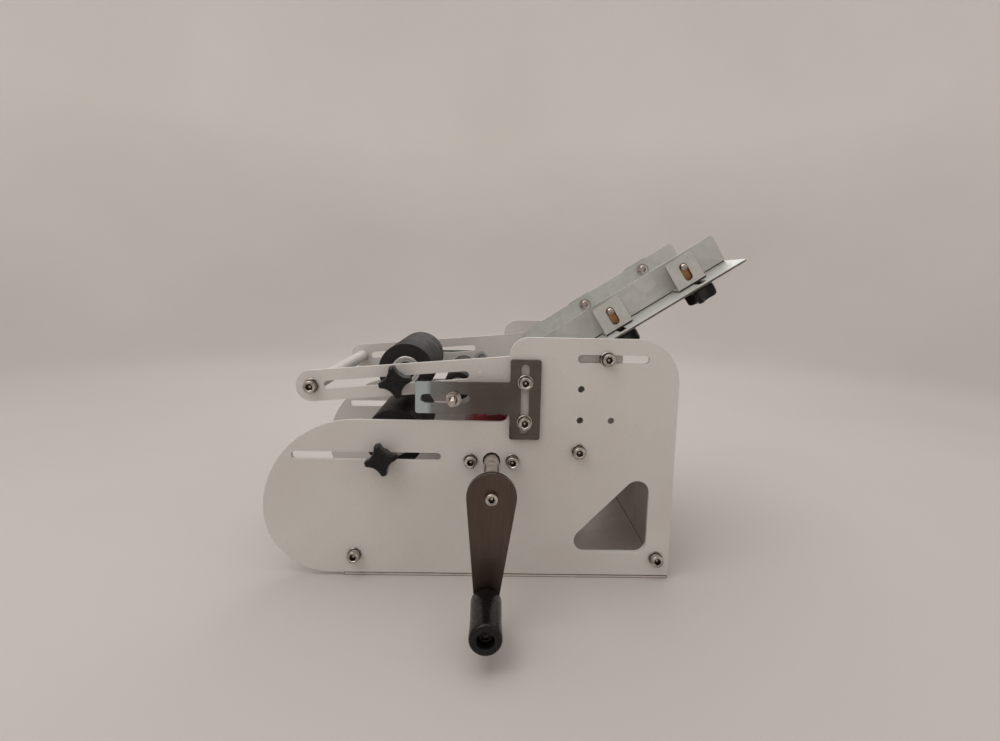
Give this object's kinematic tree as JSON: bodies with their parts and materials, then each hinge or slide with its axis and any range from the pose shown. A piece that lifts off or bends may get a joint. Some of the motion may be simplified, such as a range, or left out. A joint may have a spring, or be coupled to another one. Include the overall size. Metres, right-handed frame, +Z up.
{
  "type": "bottle labelling machine",
  "caption": "Hand-cranked bench machine that rolls a round bottle on rubber rollers to wrap a label on it, with a tilted label cradle.",
  "frame": {"origin": "centre of the base sheet's underside", "axes": "+X from the roller end towards the raised label cradle, +Y from the crank side to the far side, +Z up"},
  "size_m": [0.384, 0.36, 0.2836],
  "materials": {
    "white_paint": "fine matt powder coat",
    "base_sheet": "satin rolled sheet",
    "galvanised_sheet": "bright galvanised sheet",
    "brushed_sheet": "brushed stainless sheet",
    "zinc_steel": "bright zinc plate",
    "bare_aluminium": "turned",
    "black_rubber": "ground matt rubber",
    "red_silicone": "smooth silicone",
    "black_plastic": "moulded satin",
    "brass_spacer": "turned"
  },
  "bodies": {
    "frame": {"base_pan": "base_sheet", "side_plate_near": "white_paint", "side_plate_far": "white_paint", "base_screw_near_front": "zinc_steel", "base_screw_near_rear": "zinc_steel", "base_screw_far_front": "zinc_steel", "base_screw_far_rear": "zinc_steel", "shaft_bearing_near": "zinc_steel", "shaft_bearing_far": "zinc_steel", "bearing_screw_near_front": "zinc_steel", "bearing_screw_near_rear": "zinc_steel", "bearing_screw_far_front": "zinc_steel", "bearing_screw_far_rear": "zinc_steel", "bracket_screw_near_upper": "zinc_steel", "bracket_screw_near_lower": "zinc_steel", "bracket_screw_far_upper": "zinc_steel", "bracket_screw_far_lower": "zinc_steel", "tie_rod": "zinc_steel", "label_tray": "galvanised_sheet", "web_rod": "black_plastic", "arm_pivot_bolt_near": "zinc_steel", "arm_pivot_bolt_far": "zinc_steel"},
    "crank": {"drive_shaft": "zinc_steel", "drive_sleeve": "red_silicone", "crank_arm": "brushed_sheet", "crank_screw": "zinc_steel", "grip_bolt": "zinc_steel"},
    "grip": {"crank_grip": "black_plastic"},
    "bracket_near": {"tee_bracket_near": "brushed_sheet"},
    "bracket_far": {"tee_bracket_far": "brushed_sheet"},
    "guide_carriage": {"guide_axle": "zinc_steel"},
    "guide_wheel": {"guide_roller": "black_rubber"},
    "press_arm": {"press_arm_bar_near": "white_paint", "press_arm_bar_far": "white_paint", "handle_rod": "bare_aluminium", "handle_screw_near": "zinc_steel", "handle_screw_far": "zinc_steel"},
    "press_carriage": {"press_axle": "zinc_steel"},
    "press_wheel": {"press_roller_core": "bare_aluminium", "press_roller_sleeve": "black_rubber"},
    "press_nut_near": {"press_knob_near": "black_plastic"},
    "press_nut_far": {"press_knob_far": "black_plastic"},
    "support_carriage": {"support_axle": "zinc_steel"},
    "support_wheel": {"support_roller": "black_rubber"},
    "support_nut_near": {"support_knob_near": "black_plastic"},
    "support_nut_far": {"support_knob_far": "black_plastic"},
    "label_rail_near": {"label_guide_near": "galvanised_sheet", "guide_foot_near_lower": "galvanised_sheet", "guide_foot_near_upper": "galvanised_sheet", "guide_spacer_near_lower": "brass_spacer", "guide_spacer_near_upper": "brass_spacer"},
    "rail_nut_near_lower": {"guide_knob_near_lower": "black_plastic"},
    "rail_nut_near_upper": {"guide_knob_near_upper": "black_plastic"},
    "label_rail_far": {"label_guide_far": "galvanised_sheet", "guide_foot_far_lower": "galvanised_sheet", "guide_foot_far_upper": "galvanised_sheet", "guide_spacer_far_lower": "brass_spacer", "guide_spacer_far_upper": "brass_spacer"},
    "rail_nut_far_lower": {"guide_knob_far_lower": "black_plastic"},
    "rail_nut_far_upper": {"guide_knob_far_upper": "black_plastic"}
  },
  "joints": [
    {"name": "crank_spin", "type": "hinge", "parent": "frame", "child": "crank", "pos_m": [-0.0142, -0.05, 0.099], "axis": [0, 1, 0], "continuous": true},
    {"name": "grip_spin", "type": "hinge", "parent": "crank", "child": "grip", "pos_m": [-0.0167, -0.21, 0.0246], "axis": [0, 1, 0], "continuous": true},
    {"name": "bracket_lift_near", "type": "slide", "parent": "frame", "child": "bracket_near", "axis": [0, 0, 1], "range_m": [-0.011, 0]},
    {"name": "bracket_lift_far", "type": "slide", "parent": "frame", "child": "bracket_far", "axis": [0, 0, 1], "range_m": [-0.011, 0]},
    {"name": "guide_reach", "type": "slide", "parent": "bracket_near", "child": "guide_carriage", "axis": [1, 0, 0], "range_m": [-0.007, 0.003]},
    {"name": "guide_roller_spin", "type": "hinge", "parent": "guide_carriage", "child": "guide_wheel", "pos_m": [-0.0448, 0.01, 0.15], "axis": [0, 1, 0], "continuous": true},
    {"name": "press_arm_lift", "type": "hinge", "parent": "frame", "child": "press_arm", "pos_m": [0.0758, 0, 0.1828], "axis": [0, 1, 0], "range_deg": [0, 90]},
    {"name": "press_reach", "type": "slide", "parent": "press_arm", "child": "press_carriage", "axis": [0.9962, 0, 0.087], "range_m": [-0.037, 0.002]},
    {"name": "press_roller_spin", "type": "hinge", "parent": "press_carriage", "child": "press_wheel", "pos_m": [-0.0905, 0.01, 0.1627], "axis": [0, 1, 0], "continuous": true},
    {"name": "press_knob_turn_near", "type": "hinge", "parent": "press_carriage", "child": "press_nut_near", "pos_m": [-0.0905, -0.105, 0.1627], "axis": [0, 1, 0], "continuous": true},
    {"name": "press_knob_turn_far", "type": "hinge", "parent": "press_carriage", "child": "press_nut_far", "pos_m": [-0.0905, 0.105, 0.1627], "axis": [0, 1, 0], "continuous": true},
    {"name": "support_reach", "type": "slide", "parent": "frame", "child": "support_carriage", "axis": [1, 0, 0], "range_m": [-0.068, 0.03]},
    {"name": "support_roller_spin", "type": "hinge", "parent": "support_carriage", "child": "support_wheel", "pos_m": [-0.101, 0.01, 0.1016], "axis": [0, 1, 0], "continuous": true},
    {"name": "support_knob_turn_near", "type": "hinge", "parent": "support_carriage", "child": "support_nut_near", "pos_m": [-0.101, -0.11, 0.1016], "axis": [0, 1, 0], "continuous": true},
    {"name": "support_knob_turn_far", "type": "hinge", "parent": "support_carriage", "child": "support_nut_far", "pos_m": [-0.101, 0.11, 0.1016], "axis": [0, 1, 0], "continuous": true},
    {"name": "rail_shift_near", "type": "slide", "parent": "frame", "child": "label_rail_near", "axis": [0, 1, 0], "range_m": [-0.02, 0.028]},
    {"name": "rail_shift_far", "type": "slide", "parent": "frame", "child": "label_rail_far", "axis": [0, 1, 0], "range_m": [-0.04, 0]},
    {"name": "rail_knob_turn_near_lower", "type": "hinge", "parent": "label_rail_near", "child": "rail_nut_near_lower", "pos_m": [0.09192, -0.06, 0.20441], "axis": [-0.5373, 0, 0.8434], "continuous": true},
    {"name": "rail_knob_turn_near_upper", "type": "hinge", "parent": "label_rail_near", "child": "rail_nut_near_upper", "pos_m": [0.15433, -0.06, 0.24417], "axis": [-0.5373, 0, 0.8434], "continuous": true},
    {"name": "rail_knob_turn_far_lower", "type": "hinge", "parent": "label_rail_far", "child": "rail_nut_far_lower", "pos_m": [0.09192, 0.08, 0.20441], "axis": [-0.5373, 0, 0.8434], "continuous": true},
    {"name": "rail_knob_turn_far_upper", "type": "hinge", "parent": "label_rail_far", "child": "rail_nut_far_upper", "pos_m": [0.15433, 0.08, 0.24417], "axis": [-0.5373, 0, 0.8434], "continuous": true}
  ],
  "couplings": [
    {"joint": "bracket_lift_far", "follows": "bracket_lift_near", "ratio": 1}
  ]
}
